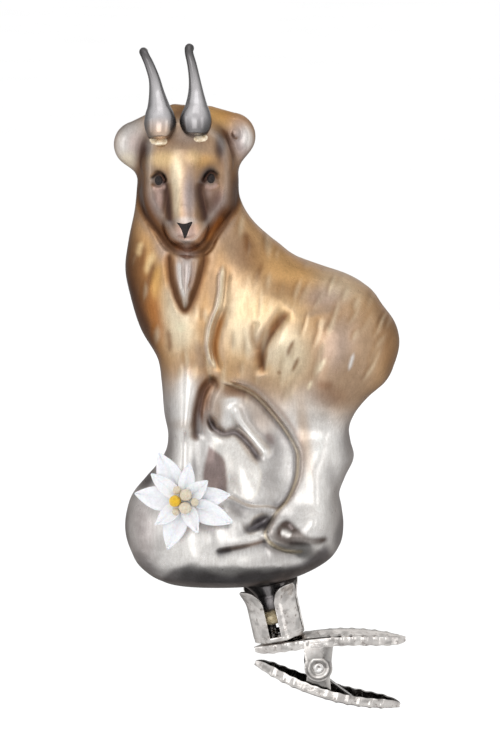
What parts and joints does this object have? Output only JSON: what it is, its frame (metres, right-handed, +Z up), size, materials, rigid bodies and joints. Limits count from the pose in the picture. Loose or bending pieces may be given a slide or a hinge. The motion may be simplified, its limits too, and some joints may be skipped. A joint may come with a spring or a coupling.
{
  "type": "blown-glass mountain goat clip-on tree ornament",
  "caption": "Painted blown-glass mountain goat standing on a rock with a white edelweiss, carried by a sprung two-lever metal clip that grips a twig.",
  "frame": {"origin": "middle of the clip's mouth, where a twig is gripped", "axes": "+Z up, +X from the clip's mouth to its handles, +Y away from the side that the goat's face looks towards"},
  "size_m": [0.0624, 0.0396, 0.1431],
  "materials": {
    "painted_glass": "silvered inside, painted outside in matt gold, tan and pewter lustre",
    "horn_glass": "glossy pewter-grey with near-black tips",
    "clear_glue": "hardened clear glue",
    "white_petal": "stiffened white felt",
    "yellow_bead": "matt yellow",
    "cream_bead": "matt cream",
    "cement": "hardened yellowish cement",
    "nickel": "nickel-plated sheet steel, polished",
    "spring_wire": "drawn spring wire"
  },
  "bodies": {
    "ornament": {"glass_figure": "painted_glass", "left_horn": "horn_glass", "right_horn": "horn_glass", "left_horn_glue": "clear_glue", "right_horn_glue": "clear_glue", "flower_glue": "clear_glue", "outer_petals": "white_petal", "inner_petals": "white_petal", "centre_floret": "yellow_bead", "cream_floret_1": "cream_bead", "cream_floret_2": "cream_bead", "cream_floret_3": "cream_bead", "cream_floret_4": "cream_bead", "cream_floret_5": "cream_bead", "neck_cement": "cement", "clip_sleeve": "nickel", "sleeve_eyelet": "nickel", "upper_lever": "nickel", "pivot_rivet": "nickel", "torsion_spring": "spring_wire"},
    "lower_jaw": {"lower_lever": "nickel"}
  },
  "joints": [
    {"name": "clip_hinge", "type": "hinge", "parent": "ornament", "child": "lower_jaw", "pos_m": [0.0072, 0, -0.0016], "axis": [0, -1, 0], "range_deg": [0, 28], "stiffness_Nm_per_rad": 0.05, "springref_deg": -34.38, "deforming": ["torsion_spring"]}
  ]
}
